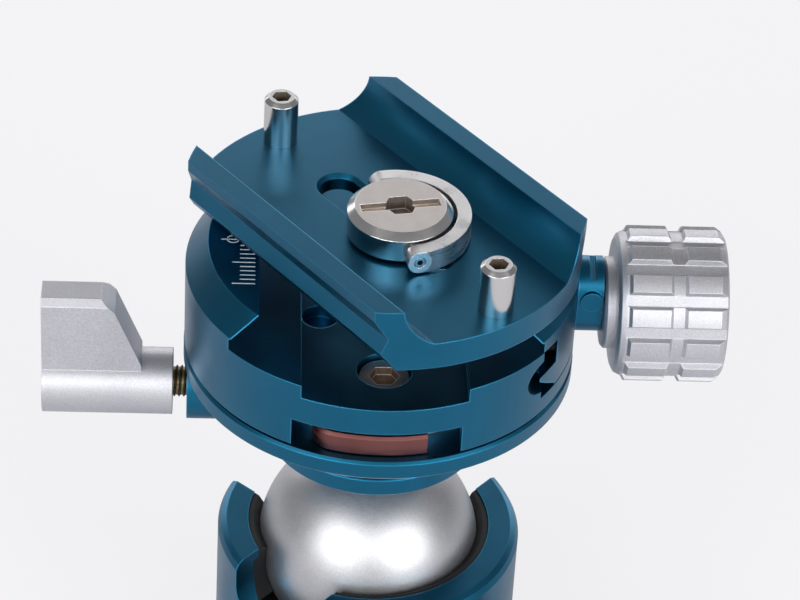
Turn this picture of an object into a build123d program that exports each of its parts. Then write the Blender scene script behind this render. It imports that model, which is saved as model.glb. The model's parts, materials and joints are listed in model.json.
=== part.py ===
from build123d import *
import os
from math import cos, radians, sin, sqrt

# Tripod ball head with a panning quick-release clamp and a loose camera plate laid on its jaws.
# The origin is the centre of the mounting face on the tripod, +Z is up and +X is the clamp knob's side.
# All lengths are millimetres and all angles are degrees.

# ---- clearances ----
turn_gap = 0.3          # between faces that turn past each other
fit_gap = 0.05          # on the radius of a shaft in its bore
slide_gap = 0.2         # between sliding faces that don't guide
seat_gap = 0.05         # between the ball and its seats
tip_gap = 0.15          # between a locking tip and its V-groove, unlocked
edge_break = 0.4        # bevel of a crisp outside edge
end_bevel = 0.6         # bevel at the end of a shaft or rim

# ---- base ----
base_dia = 47.6
base_height = 9.0
base_bevel = 1.2
base_spindle_dia = 18.0
base_spindle_rise = 7.0
insert_dia = 14.0
insert_length = 13.0
tripod_thread_dia = 9.525
pad_inner_dia = 28.0
pad_margin = 1.8
pad_thickness = 1.0
base_washer_margin = 2.8
washer_thickness = 0.5
groove_depth = 1.2      # V-groove that a locking tip bites into

# ---- housing and ball ----
housing_wall = 3.7
liner_wall = 2.5
rim_rise = 3.6          # rim above the ball centre
rim_bevel = 1.3
rim_crown = 0.45        # flatter upper facet of the rim's bevel
liner_lip_wall = 1.6
liner_lip_drop = 1.7
liner_drop = 8.5
liner_flat = 0.55       # flat ring around the liner's mouth
liner_mouth_drop = 1.0
plug_height = 8.6
ball_dia = 33.4
ball_flat_depth = 1.0
stem_dia = 13.0
notch_width = 14.8
notch_azimuths = (48, 138, 228)
notch_bevel = 1.2
seat_height = 7.9
seat_support_height = 4.7
seat_hole_dia = 16.0
seat_ramp = 3.0

# ---- ball lock ----
lock_azimuth = 318
lock_drop = 16.3        # lock axis below the ball centre
plunger_dia = 7.0
plunger_tip_radius = 15.9
plunger_play = 0.4      # plunger's gap to the seat while the lock is open
lock_screw_dia = 8.0
lock_boss_dia = 14.0
lock_boss_reach = 26.0
lock_knob_dia = 27.6
lock_knob_length = 16.6
lock_hub_dia = 13.0
lock_hub_length = 3.1
lock_bore_step = 2.4    # wall left around the plunger inside the screw's bore

# ---- pan locks ----
base_lock_azimuth = 228
lock_stud_dia = 4.2
tip_dia = 6.0
base_knob_dia = 13.0
base_knob_length = 10.0
base_knob_gap = 0.5
pan_boss_dia = 11.0
pan_boss_reach = 27.9
pan_lock_drop = 5.4     # lock axis below the pan ring's foot
lever_hub_dia = 9.9
lever_gap = 2.1
lever_hub_length = 4.6
lever_reach = 16.4
lever_length = 14.5
lever_thickness = 6.0
lever_bevel = 1.0
lever_slope = 3.8        # how far the wing's inner edge leans out

# ---- pan base ----
collar_rise = 21.6      # collar foot above the ball centre
collar_dia = 32.2
collar_thickness = 3.1
joint_line = 0.2
cone_dia = 47.0
cone_height = 10.1
ring_dia = 57.0
ring_thickness = 3.25
pan_spindle_dia = 16.0
pan_web = 1.2
spindle_flange_dia = 45.2
spindle_flange_thickness = 2.3
stem_bolt_dia = 6.0
stem_bolt_head_dia = 12.0
stem_bolt_length = 17.0
stem_bolt_key = 4.0
stem_bolt_key_depth = 1.5

# ---- clamp ----
clamp_dia = 56.84
clamp_height = 17.15
jaw_flat_dia = 50.4
jaw_bevel_drop = 3.84
fixed_lip = 17.8        # fixed lip's edge from the axis
flank_height = 4.2      # 45 degree dovetail flank
floor_drop = 5.9
channel_half_width = 11.7
channel_drop = 8.0
front_relief_start = 16.9
front_relief_step = 0.5
front_relief_flat = 20.6
front_relief_fall = 1.5
jaw_wall = 22.6         # body's wall beside the moving jaw
jaw_opening = 2.05      # gap between the body's wall and the jaw's leg
jaw_closing = 1.2       # travel from rest to a gripped 38 mm plate
moving_lip = 18.3       # moving lip's edge from the axis, as the jaw stands
jaw_foot_drop = 13.9
toe_top_drop = 9.8      # hooked toe of the jaw's leg
toe_tip_drop = 10.2
toe_foot_drop = 13.6
toe_inner_offset = 13.0
toe_reach = 2.95
toe_round = 0.5
pocket_radius = 2.9     # round pocket that the toe hooks into
pocket_depth = 2.2
pocket_drop = 10.2
window_left = -12.9
window_right = 11.0
window_top_drop = 12.3
shoe_left = -9.8
shoe_right = 6.3
shoe_top_drop = 14.2
shoe_outer_radius = 26.9
shoe_corner = 3.4
screw_axis_drop = 9.7
draw_screw_dia = 6.0
draw_screw_tip = 16.4
guide_pin_dia = 3.0
guide_pin_offset = 10.5
guide_pin_tip = 14.5
guide_pin_seat = 0.9
spring_offset = 6.2
spring_dia = 4.4
spring_wire = 0.6
spring_coils = 5
spring_pocket_depth = 5.0
sleeve_dia = 8.4
sleeve_rise = 3.2
sleeve_reach = 31.9
sleeve_slot_start = 29.9
sleeve_slot_width = 0.9
sleeve_slot_depth = 1.2
sleeve_button_dia = 3.3
sleeve_button_reach = 30.2
sleeve_button_rise = 0.35
clamp_knob_dia = 22.6
clamp_knob_start = 33.7
clamp_knob_length = 15.8
knob_washer_dia = 13.4
floor_screw_dia = 4.0
floor_screw_head_dia = 7.0
floor_screw_sink_dia = 7.8
floor_screw_key = 3.8
floor_screw_key_depth = 1.3
floor_screw_head = 2.2
floor_screw_sink = 0.9
floor_screw_offset = 19.4
floor_sink_dia = 5.2      # empty counterbores beside the channel walls
floor_sink_depth = 1.9
floor_sinks_at = ((-9.0, -7.3), (9.0, 7.3))

# ---- knob grips ----
pad_count = 14
pad_groove_depth = 0.75
pad_groove_width = 1.6
pad_groove_sink = 0.1   # lengthwise grooves below the round groove between the rows
pad_flare = 0.45
pad_side_flare = 0.72
knob_bevel = 1.2
knob_rim = 1.4
end_screw_dia = 3.0
end_screw_head_dia = 6.4
end_screw_head = 1.8
end_screw_key = 2.4
end_screw_key_depth = 1.1
end_screw_sink = 2.4
end_screw_length = 10.0

# ---- camera plate ----
plate_centre = (-0.1, -0.65)
plate_turn = -53.0
plate_dia = 57.6
plate_gap = 0.05        # plate over the jaw tops
rail_half_width = 19.0
rail_top_width = 3.25
rail_wall = 1.72
flange_half_width = 18.2
sole_half_width = 16.4
plate_height = 9.84
floor_height = 4.21
neck_height = 5.17
flange_height = 2.65
recess_half_width = 11.9
scoop_roundness = 1.2    # radius of the cove beside a rail, in recess depths
plate_slot_width = 5.6
plate_slot_half_length = 13.3
clip_slot_width = 10.4
clip_slot_depth = 1.7
post_offset = 24.8
post_dia = 5.0
post_rise = 7.7
post_bevel = 0.6
post_thread_dia = 3.5
post_thread_length = 3.1
post_hole_depth = 3.4
post_key = 2.5
post_key_depth = 2.6

# ---- camera screw ----
camera_screw_offset = 3.3
camera_thread_dia = 6.35
camera_thread_reach = 4.9
camera_shank_dia = 5.0
head_dia = 15.1
head_face_dia = 13.0
head_rise = 4.9
head_bevel_drop = 1.0
head_slot_turn = 63.0    # slot's angle from the plate's rails, as the screw stands
head_slot_length = 11.4
head_slot_width = 1.8
head_slot_depth = 0.9
head_key = 4.2
head_key_depth = 2.2
clip_dia = 9.0
clip_thickness = 0.8
handle_turn = -22.0
handle_inner_dia = 16.3
handle_outer_dia = 20.3
handle_height = 3.5
handle_floor_gap = 0.3
handle_pin_dia = 1.6
handle_pin_seat = 1.6

# ---- worked out from the sizes above ----
housing_foot = base_height + turn_gap
plug_top = housing_foot + plug_height
seat_foot = plug_top + seat_support_height
seat_top = seat_foot + seat_height
ball_radius = ball_dia / 2
ball_z = seat_foot + ball_radius - ball_flat_depth
bore_radius = ball_radius + liner_wall
housing_radius = bore_radius + housing_wall
rim_z = ball_z + rim_rise
collar_foot = ball_z + collar_rise
pan_foot = collar_foot + collar_thickness + joint_line
ring_foot = pan_foot + cone_height
ring_top = ring_foot + ring_thickness
clamp_foot = ring_top + turn_gap
jaw_top = clamp_foot + clamp_height
lock_z = ball_z - lock_drop
pan_lock_z = ring_foot - pan_lock_drop
base_lock_z = base_height + base_spindle_rise / 2
screw_z = jaw_top - screw_axis_drop
clamp_radius = clamp_dia / 2
floor_z = jaw_top - floor_drop
channel_z = jaw_top - channel_drop
jaw_foot = jaw_top - jaw_foot_drop
jaw_face = jaw_wall + jaw_opening
pocket_foot = jaw_foot - turn_gap
spindle_flange_foot = ring_top + washer_thickness
spindle_flange_top = spindle_flange_foot + spindle_flange_thickness
pan_bore_floor = pan_foot + pan_web
plate_z = jaw_top + plate_gap
neck_half_width = (fixed_lip + moving_lip - jaw_closing) / 2
UP = (Align.CENTER, Align.CENTER, Align.MIN)


def radial(azimuth, radius, height):
    """A plane whose normal points outwards at an azimuth, with its local x upwards."""
    out = (cos(radians(azimuth)), sin(radians(azimuth)), 0)
    return Plane(origin=(out[0] * radius, out[1] * radius, height), x_dir=(0, 0, 1), z_dir=out)


def turned(points, plane=Plane.XY, mode=Mode.ADD):
    """Revolves an outline of (distance, radius) points about the plane's own normal."""
    side = Plane(origin=plane.origin, x_dir=plane.z_dir, z_dir=plane.x_dir)
    with BuildSketch(side, mode=Mode.PRIVATE) as outline:
        with BuildLine():
            Polyline(*points, close=True)
        make_face()
    revolve(outline.sketch, axis=Axis(plane.origin, plane.z_dir), mode=mode)


def outwards(section, side, inner):
    """Extrudes a section of the XZ plane along Y from a side offset to the rim."""
    return extrude(section.moved(Location((0, side * inner, 0))), amount=side * clamp_radius,
                   dir=(0, 1, 0), mode=Mode.PRIVATE)


def drilled(plane, radius, depth):
    """Bores a blind round hole from the plane backwards."""
    with BuildSketch(plane, mode=Mode.PRIVATE) as mouth:
        Circle(radius)
    extrude(mouth.sketch, amount=-depth, mode=Mode.SUBTRACT)


def finish(piece, name):
    """Names a finished piece and writes it out."""
    piece.part.label = name
    export_step(piece.part, f"parts/{name}.step")


def grip_knob(plane, dia, length, bore_radius, bore_depth):
    """A turned knob with two rows of raised rectangular pads between bevelled grooves."""
    radius = dia / 2
    root = radius - pad_groove_depth
    half = pad_groove_width / 2
    middle = (length + knob_rim) / 2
    with BuildPart() as knob:
        outline = [(0, 0), (0, root - knob_bevel), (edge_break, root - edge_break), (knob_bevel, root),
                   (knob_rim, root), (knob_rim + pad_flare, radius), (middle - half - pad_flare, radius),
                   (middle - half, root), (middle + half, root), (middle + half + pad_flare, radius),
                   (length - knob_bevel, radius), (length - edge_break, radius - end_bevel),
                   (length, radius - knob_bevel), (length, 0)]
        turned(outline, plane)
        with BuildSketch(plane, mode=Mode.PRIVATE) as grooves:
            with PolarLocations(root, pad_count):
                Polygon((-pad_groove_sink, -half), (-pad_groove_sink, half),
                        (pad_groove_depth + pad_flare, half + pad_side_flare),
                        (pad_groove_depth + pad_flare, -half - pad_side_flare), align=None)
        extrude(grooves.sketch, amount=length, mode=Mode.SUBTRACT)
        drilled(plane, bore_radius, -bore_depth)
    return knob


def drill_for_end_screw(face):
    """Sinks and bores the outer face of a knob, and the spindle inside it, for the retaining screw."""
    drilled(face, end_screw_head_dia / 2 + fit_gap, end_screw_sink)
    drilled(face, end_screw_dia / 2, end_screw_sink + end_screw_length)


def end_screw(face):
    """The socket screw that holds a knob on its spindle, sunk in the knob's outer face."""
    top = -end_screw_sink + end_screw_head
    tip = -end_screw_sink - end_screw_length + fit_gap
    with BuildPart() as screw:
        turned([(tip, 0), (tip, end_screw_dia / 2 - fit_gap), (-end_screw_sink, end_screw_dia / 2 - fit_gap),
                (-end_screw_sink, end_screw_head_dia / 2),
                (top, end_screw_head_dia / 2), (top, 0)], face)
        with BuildSketch(face.offset(top)):
            RegularPolygon(end_screw_key / 2, 6, major_radius=False)
        extrude(amount=-end_screw_key_depth, mode=Mode.SUBTRACT)
    return screw


os.makedirs("parts", exist_ok=True)

# ======== base that screws to the tripod ========
base_radius = base_dia / 2
spindle_radius = base_spindle_dia / 2
washer_foot = housing_foot - washer_thickness
base_washer_radius = base_radius - base_washer_margin
spindle_relief = spindle_radius + 2 * fit_gap
spindle_top = base_height + base_spindle_rise
pad_radius = base_radius - pad_margin
with BuildPart() as base_plate:
    turned([(0, 0), (0, base_radius - base_bevel), (base_bevel, base_radius),
            (base_height - base_bevel, base_radius), (base_height, base_radius - base_bevel),
            (base_height, base_washer_radius), (washer_foot, base_washer_radius),
            (washer_foot, spindle_relief), (base_height, spindle_relief), (base_height, spindle_radius),
            (base_lock_z - groove_depth, spindle_radius), (base_lock_z, spindle_radius - groove_depth),
            (base_lock_z + groove_depth, spindle_radius),
            (spindle_top - end_bevel, spindle_radius), (spindle_top, spindle_radius - end_bevel),
            (spindle_top, 0)])
    drilled(Plane.XY.offset(insert_length), insert_dia / 2, insert_length)
    with BuildSketch(Plane.XY):
        Circle(pad_radius)
        Circle(pad_inner_dia / 2, mode=Mode.SUBTRACT)
    extrude(amount=pad_thickness, mode=Mode.SUBTRACT)
finish(base_plate, "base_plate")

with BuildPart() as tripod_insert:
    Cylinder(insert_dia / 2, insert_length, align=UP)
    Hole(tripod_thread_dia / 2)
finish(tripod_insert, "tripod_insert")

with BuildPart() as base_grip_pad:
    with BuildSketch(Plane.XY):
        Circle(pad_radius)
        Circle(pad_inner_dia / 2, mode=Mode.SUBTRACT)
    extrude(amount=pad_thickness)
finish(base_grip_pad, "base_grip_pad")

with BuildPart() as base_pan_washer:
    with BuildSketch(Plane.XY.offset(washer_foot)):
        Circle(base_washer_radius - fit_gap)
        Circle(spindle_relief + fit_gap, mode=Mode.SUBTRACT)
    extrude(amount=washer_thickness)
finish(base_pan_washer, "base_pan_washer")

# ======== housing ========
liner_lip_radius = ball_radius + liner_lip_wall
lip_z = rim_z - liner_lip_drop


def notch(azimuth):
    """Cuts one drop notch through a wall around the ball, with a round bottom at the ball's centre height."""
    with BuildSketch(radial(azimuth, 0, ball_z), mode=Mode.PRIVATE) as slot:
        Circle(notch_width / 2)
        with Locations((rim_rise + notch_width / 2, 0)):
            Rectangle(2 * rim_rise + notch_width, notch_width)
    extrude(slot.sketch, amount=base_dia, mode=Mode.SUBTRACT)


def notch_rim(azimuth):
    """Bevels the outside edge of one drop notch."""
    wide = notch_width / 2 + notch_bevel
    with BuildSketch(radial(azimuth, housing_radius - notch_bevel, ball_z), mode=Mode.PRIVATE) as inner:
        Circle(notch_width / 2)
        with Locations((rim_rise + notch_width / 2, 0)):
            Rectangle(2 * rim_rise + notch_width, notch_width)
    with BuildSketch(radial(azimuth, housing_radius, ball_z), mode=Mode.PRIVATE) as outer:
        Circle(wide)
        with Locations((rim_rise + notch_width / 2, 0)):
            Rectangle(2 * rim_rise + notch_width, 2 * wide)
    loft([inner.sketch.face(), outer.sketch.face()], mode=Mode.SUBTRACT)


with BuildPart() as housing:
    turned([(housing_foot, bore_radius), (housing_foot, housing_radius - base_bevel),
            (housing_foot + base_bevel, housing_radius), (rim_z - rim_bevel, housing_radius),
            (rim_z - rim_crown, housing_radius - rim_crown), (rim_z, housing_radius - rim_bevel),
            (rim_z, liner_lip_radius), (lip_z, liner_lip_radius), (lip_z, bore_radius)])
    with BuildSketch(radial(lock_azimuth, bore_radius + housing_wall / 2, lock_z)):
        Circle(lock_boss_dia / 2)
    extrude(amount=lock_boss_reach - bore_radius - housing_wall / 2)
    for azimuth in notch_azimuths:
        notch(azimuth)
        notch_rim(azimuth)
    drilled(radial(lock_azimuth, lock_boss_reach, lock_z), lock_screw_dia / 2 + fit_gap,
            lock_boss_reach - bore_radius - lock_bore_step)
    drilled(radial(lock_azimuth, lock_boss_reach, lock_z), plunger_dia / 2 + fit_gap,
            lock_boss_reach - ball_radius)
    drilled(radial(base_lock_azimuth, housing_radius, base_lock_z), tip_dia / 2 + fit_gap, 2 * housing_wall)
finish(housing, "housing")

with BuildPart() as housing_plug:
    turned([(housing_foot, spindle_radius + fit_gap), (housing_foot, bore_radius - fit_gap),
            (plug_top, bore_radius - fit_gap), (plug_top, spindle_radius - groove_depth),
            (spindle_top + slide_gap, spindle_radius - groove_depth),
            (spindle_top + slide_gap, spindle_radius + fit_gap)])
    drilled(radial(base_lock_azimuth, bore_radius, base_lock_z), tip_dia / 2 + fit_gap, bore_radius)
finish(housing_plug, "housing_plug")

socket_radius = ball_radius + seat_gap
liner_radius = bore_radius - fit_gap
liner_rim_radius = liner_lip_radius - fit_gap
mouth_radius = sqrt(socket_radius ** 2 - (rim_rise - liner_mouth_drop) ** 2)
with BuildPart() as ball_liner:
    turned([(rim_z - liner_drop, liner_radius), (lip_z - fit_gap, liner_radius),
            (lip_z - fit_gap, liner_rim_radius), (rim_z - slide_gap, liner_rim_radius),
            (rim_z - slide_gap, ball_radius / 2), (rim_z - liner_drop, ball_radius / 2)])
    with Locations((0, 0, ball_z)):
        Sphere(socket_radius, mode=Mode.SUBTRACT)
    turned([(rim_z, ball_radius / 2), (rim_z, liner_rim_radius - liner_flat),
            (rim_z - liner_mouth_drop, mouth_radius), (rim_z - liner_mouth_drop, ball_radius / 2)],
           mode=Mode.SUBTRACT)
    for azimuth in notch_azimuths:
        notch(azimuth)
finish(ball_liner, "ball_liner")

seat_radius = bore_radius - 2 * fit_gap
with BuildPart() as ball_seat:
    turned([(seat_foot, seat_hole_dia / 2), (seat_foot, seat_radius - seat_ramp),
            (seat_foot + seat_ramp, seat_radius), (seat_top, seat_radius), (seat_top, seat_hole_dia / 2)])
    with Locations((0, 0, ball_z)):
        Sphere(socket_radius, mode=Mode.SUBTRACT)
finish(ball_seat, "ball_seat")

with BuildPart() as seat_support_ring:
    turned([(plug_top, seat_hole_dia / 2), (plug_top, seat_hole_dia / 2 + seat_ramp),
            (seat_foot, seat_hole_dia / 2 + seat_ramp), (seat_foot, seat_hole_dia / 2)])
finish(seat_support_ring, "seat_support_ring")

with BuildPart() as ball:
    with Locations((0, 0, ball_z)):
        Sphere(ball_radius)
    with BuildSketch(Plane.XY.offset(ball_z)):
        Circle(stem_dia / 2)
    extrude(amount=collar_rise)
    with BuildSketch(Plane.XY.offset(ball_z - ball_radius)):
        Circle(ball_radius)
    extrude(amount=ball_flat_depth, mode=Mode.SUBTRACT)
    drilled(Plane.XY.offset(collar_foot), stem_bolt_dia / 2, stem_bolt_length)
finish(ball, "ball")

# ======== ball lock ========
lock_plane = radial(lock_azimuth, 0, lock_z)
plunger_end = bore_radius + lock_bore_step
with BuildPart() as lock_plunger:
    turned([(plunger_tip_radius, 0), (plunger_tip_radius, plunger_dia / 2 - seat_ramp / 2),
            (plunger_tip_radius + seat_ramp / 2, plunger_dia / 2),
            (plunger_end - slide_gap, plunger_dia / 2), (plunger_end - slide_gap, 0)], lock_plane)
    turned([(seat_foot - plunger_play, 0), (seat_foot - plunger_play, seat_radius - seat_ramp + plunger_play),
            (seat_foot + seat_ramp - plunger_play, seat_radius + plunger_play),
            (seat_top, seat_radius + plunger_play), (seat_top, 0)], mode=Mode.SUBTRACT)
finish(lock_plunger, "lock_plunger")

lock_washer_start = lock_boss_reach + turn_gap
lock_knob_start = lock_washer_start + lock_hub_length
lock_knob_face = radial(lock_azimuth, lock_knob_start + lock_knob_length, lock_z)
with BuildPart() as lock_screw:
    turned([(plunger_end, 0), (plunger_end, lock_screw_dia / 2 - slide_gap),
            (plunger_end + slide_gap, lock_screw_dia / 2),
            (lock_knob_start + lock_knob_length / 2, lock_screw_dia / 2),
            (lock_knob_start + lock_knob_length / 2, 0)], lock_plane)
    drill_for_end_screw(lock_knob_face)
finish(lock_screw, "lock_screw")

with BuildPart() as lock_knob_washer:
    turned([(lock_washer_start, lock_screw_dia / 2 + fit_gap),
            (lock_washer_start, lock_hub_dia / 2 - edge_break),
            (lock_washer_start + edge_break, lock_hub_dia / 2), (lock_knob_start, lock_hub_dia / 2),
            (lock_knob_start, lock_screw_dia / 2 + fit_gap)], lock_plane)
finish(lock_knob_washer, "lock_knob_washer")

lock_knob = grip_knob(radial(lock_azimuth, lock_knob_start, lock_z), lock_knob_dia, lock_knob_length,
                      lock_screw_dia / 2, lock_knob_length / 2)
with lock_knob:
    drill_for_end_screw(lock_knob_face)
finish(lock_knob, "lock_knob")

lock_knob_screw = end_screw(lock_knob_face)
finish(lock_knob_screw, "lock_knob_screw")

# ======== base pan lock ========
base_lock_plane = radial(base_lock_azimuth, 0, base_lock_z)
stud_radius = lock_stud_dia / 2
stud_thread_radius = tip_dia / 2 - fit_gap


def lock_tip(plane, groove_radius, length):
    """A brass tip whose cone sits in a spindle's V-groove."""
    nose = groove_radius - groove_depth + tip_gap
    with BuildPart() as tip:
        turned([(nose, 0), (nose, fit_gap), (nose + groove_depth, groove_depth),
                (nose + groove_depth + tip_gap, tip_dia / 2 - end_bevel),
                (nose + 2 * groove_depth, tip_dia / 2), (nose + length, tip_dia / 2), (nose + length, 0)],
               plane)
    return tip


base_tip_length = bore_radius - spindle_radius - groove_depth
base_tip_end = spindle_radius - groove_depth + tip_gap + base_tip_length
base_thread_end = housing_radius - base_bevel
base_lock_tip = lock_tip(base_lock_plane, spindle_radius, base_tip_length)
finish(base_lock_tip, "base_lock_tip")

base_knob_start = max(base_radius, housing_radius) + base_knob_gap
with BuildPart() as base_lock_stud:
    turned([(base_tip_end, 0), (base_tip_end, stud_thread_radius), (base_thread_end, stud_thread_radius),
            (base_thread_end, stud_radius), (base_knob_start + base_knob_length / 2, stud_radius),
            (base_knob_start + base_knob_length / 2, 0)], base_lock_plane)
finish(base_lock_stud, "base_lock_stud")

base_lock_knob = grip_knob(radial(base_lock_azimuth, base_knob_start, base_lock_z), base_knob_dia,
                           base_knob_length, stud_radius, base_knob_length / 2)
finish(base_lock_knob, "base_lock_knob")

# ======== pan base, carried on the ball's stem ========
collar_radius = collar_dia / 2
collar_top = collar_foot + collar_thickness
with BuildPart() as stem_collar:
    turned([(collar_foot, 0), (collar_foot, collar_radius - edge_break),
            (collar_foot + edge_break, collar_radius), (collar_top - joint_line, collar_radius),
            (collar_top, collar_radius - joint_line), (collar_top, 0)])
    drilled(Plane.XY.offset(collar_top), stem_bolt_dia / 2, collar_thickness)
    turned([(collar_foot, stem_bolt_dia / 2), (pan_bore_floor, stem_bolt_head_dia / 2),
            (pan_bore_floor, 0), (collar_foot, 0)], mode=Mode.SUBTRACT)
finish(stem_collar, "stem_collar")

pan_spindle_radius = pan_spindle_dia / 2
ring_radius = ring_dia / 2
with BuildPart() as pan_base:
    turned([(collar_top, 0), (collar_top, collar_radius - end_bevel), (pan_foot, collar_radius - end_bevel),
            (pan_foot, collar_radius - joint_line), (pan_foot + joint_line, collar_radius),
            (ring_foot, cone_dia / 2), (ring_foot, ring_radius - end_bevel),
            (ring_foot + end_bevel, ring_radius), (ring_top - edge_break, ring_radius),
            (ring_top, ring_radius - edge_break),
            (ring_top, pan_spindle_radius + fit_gap), (pan_bore_floor, pan_spindle_radius + fit_gap),
            (pan_bore_floor, 0)])
    with BuildSketch(radial(180, pan_spindle_radius + pan_web, pan_lock_z)):
        Circle(pan_boss_dia / 2)
    extrude(amount=pan_boss_reach - pan_spindle_radius - pan_web)
    turned([(collar_foot, 0), (collar_foot, collar_radius + joint_line),
            (collar_top, collar_radius + joint_line), (collar_top, 0)], mode=Mode.SUBTRACT)
    drilled(radial(180, pan_boss_reach, pan_lock_z), tip_dia / 2 + fit_gap, pan_boss_reach)
    turned([(collar_foot, stem_bolt_dia / 2), (pan_bore_floor, stem_bolt_head_dia / 2),
            (pan_bore_floor, 0), (collar_foot, 0)], mode=Mode.SUBTRACT)
finish(pan_base, "pan_base")

stem_bolt_foot = collar_foot - stem_bolt_length + slide_gap
with BuildPart() as stem_bolt:
    turned([(stem_bolt_foot, 0), (stem_bolt_foot, stem_bolt_dia / 2 - fit_gap),
            (collar_foot, stem_bolt_dia / 2 - fit_gap),
            (pan_bore_floor - fit_gap, stem_bolt_head_dia / 2 - 2 * fit_gap), (pan_bore_floor - fit_gap, 0)])
    with BuildSketch(Plane.XY.offset(pan_bore_floor)):
        RegularPolygon(stem_bolt_key / 2, 6, major_radius=False)
    extrude(amount=-stem_bolt_key_depth, mode=Mode.SUBTRACT)
finish(stem_bolt, "stem_bolt")

pan_lock_plane = radial(180, 0, pan_lock_z)
pan_tip_length = pan_boss_reach - pan_spindle_radius - lever_hub_length
pan_tip_end = pan_spindle_radius - groove_depth + tip_gap + pan_tip_length
pan_thread_end = pan_boss_reach - pan_web
pan_lock_tip = lock_tip(pan_lock_plane, pan_spindle_radius, pan_tip_length)
finish(pan_lock_tip, "pan_lock_tip")

lever_start = pan_boss_reach + lever_gap
with BuildPart() as pan_lock_stud:
    turned([(pan_tip_end, 0), (pan_tip_end, stud_thread_radius),
            (pan_thread_end, stud_thread_radius), (pan_thread_end, stud_radius),
            (lever_start + lever_hub_length, stud_radius), (lever_start + lever_hub_length, 0)],
           pan_lock_plane)
finish(pan_lock_stud, "pan_lock_stud")

lever_plane = radial(180, lever_start, pan_lock_z)
with BuildPart() as pan_lock_lever:
    with BuildSketch(lever_plane):
        Circle(lever_hub_dia / 2)
    extrude(amount=lever_hub_length + lever_length)
    with BuildSketch(Plane(origin=lever_plane.origin, x_dir=(-1, 0, 0), z_dir=(0, 1, 0))):
        with BuildLine():
            Polyline((lever_hub_length, 0), (lever_hub_length, lever_hub_dia / 2),
                     (lever_hub_length + lever_slope, lever_reach - 2 * lever_bevel),
                     (lever_hub_length + lever_slope + 2 * lever_bevel, lever_reach),
                     (lever_hub_length + lever_length, lever_reach), (lever_hub_length + lever_length, 0),
                     close=True)
        make_face()
    extrude(amount=lever_thickness / 2, both=True)
    chamfer(pan_lock_lever.edges().filter_by(Axis.X).sort_by(Axis.Z)[-2:], length=lever_bevel)
    drilled(lever_plane, stud_radius, -lever_hub_length)
finish(pan_lock_lever, "pan_lock_lever")

# ======== clamp ========
clamp_edge_foot = clamp_foot + edge_break
spindle_flange_radius = spindle_flange_dia / 2
with BuildPart() as clamp_body:
    turned([(clamp_foot, 0), (clamp_foot, clamp_radius - edge_break), (clamp_edge_foot, clamp_radius),
            (jaw_top - jaw_bevel_drop, clamp_radius), (jaw_top, jaw_flat_dia / 2), (jaw_top, 0)])
    with BuildSketch(Plane.XZ):
        Polygon((-fixed_lip, jaw_top), (-fixed_lip - flank_height, jaw_top - flank_height),
                (-fixed_lip - flank_height, floor_z), (jaw_wall, floor_z), (jaw_wall, jaw_foot - turn_gap),
                (clamp_radius, jaw_foot - turn_gap), (clamp_radius, jaw_top), align=None)
    extrude(amount=clamp_radius, both=True, mode=Mode.SUBTRACT)
    with BuildSketch(Plane.XZ):
        with Locations((0, jaw_top)):
            Rectangle(2 * channel_half_width, 2 * channel_drop)
    extrude(amount=clamp_radius, both=True, mode=Mode.SUBTRACT)
    for side in (-1, 1):
        with BuildSketch(Plane.YZ, mode=Mode.PRIVATE) as relief:
            Polygon((side * front_relief_start, floor_z),
                    (side * (front_relief_start + front_relief_step), floor_z - front_relief_step),
                    (side * front_relief_flat, floor_z - front_relief_step),
                    (side * clamp_radius, floor_z - front_relief_fall),
                    (side * clamp_radius, jaw_top), (side * front_relief_start, jaw_top), align=None)
        with BuildSketch(Plane(origin=(-fixed_lip - flank_height, 0, 0), x_dir=(0, 1, 0), z_dir=(1, 0, 0))):
            add(relief.sketch)
        extrude(amount=fixed_lip + flank_height + jaw_wall, mode=Mode.SUBTRACT)
        with BuildSketch(Plane.XZ, mode=Mode.PRIVATE) as pocket:
            with Locations((jaw_wall - pocket_depth + pocket_radius, jaw_top - pocket_drop)):
                Circle(pocket_radius)
        add(outwards(pocket.sketch, side, toe_inner_offset - slide_gap), mode=Mode.SUBTRACT)
    for offset, radius, tip in ((0, draw_screw_dia / 2, draw_screw_tip),
                                (guide_pin_offset, guide_pin_dia / 2, guide_pin_tip),
                                (-guide_pin_offset, guide_pin_dia / 2, guide_pin_tip)):
        drilled(Plane(origin=(jaw_wall, offset, screw_z), z_dir=(1, 0, 0)), radius + fit_gap,
                jaw_wall - tip + jaw_closing + turn_gap)
    for offset in (-spring_offset, spring_offset):
        drilled(Plane(origin=(jaw_wall, offset, screw_z), z_dir=(1, 0, 0)), spring_dia / 2 + slide_gap,
                spring_pocket_depth)
    turned([(clamp_foot, 0), (clamp_foot, spindle_flange_radius + fit_gap),
            (spindle_flange_top, spindle_flange_radius + fit_gap), (spindle_flange_top, 0)],
           mode=Mode.SUBTRACT)
    with BuildSketch(Plane.XZ):
        with Locations(((window_left + window_right) / 2, jaw_top - (window_top_drop + clamp_height) / 2)):
            Rectangle(window_right - window_left, clamp_height - window_top_drop)
    extrude(amount=clamp_radius, mode=Mode.SUBTRACT)
    for side in (-1, 1):
        screw_seat = Plane(origin=(0, side * floor_screw_offset, channel_z))
        drilled(screw_seat, floor_screw_sink_dia / 2, floor_screw_sink + floor_screw_head)
        drilled(screw_seat, floor_screw_dia / 2, channel_z - spindle_flange_top)
    for x, y in floor_sinks_at:
        drilled(Plane(origin=(x, y, channel_z)), floor_sink_dia / 2, floor_sink_depth)
finish(clamp_body, "clamp_body")

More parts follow.
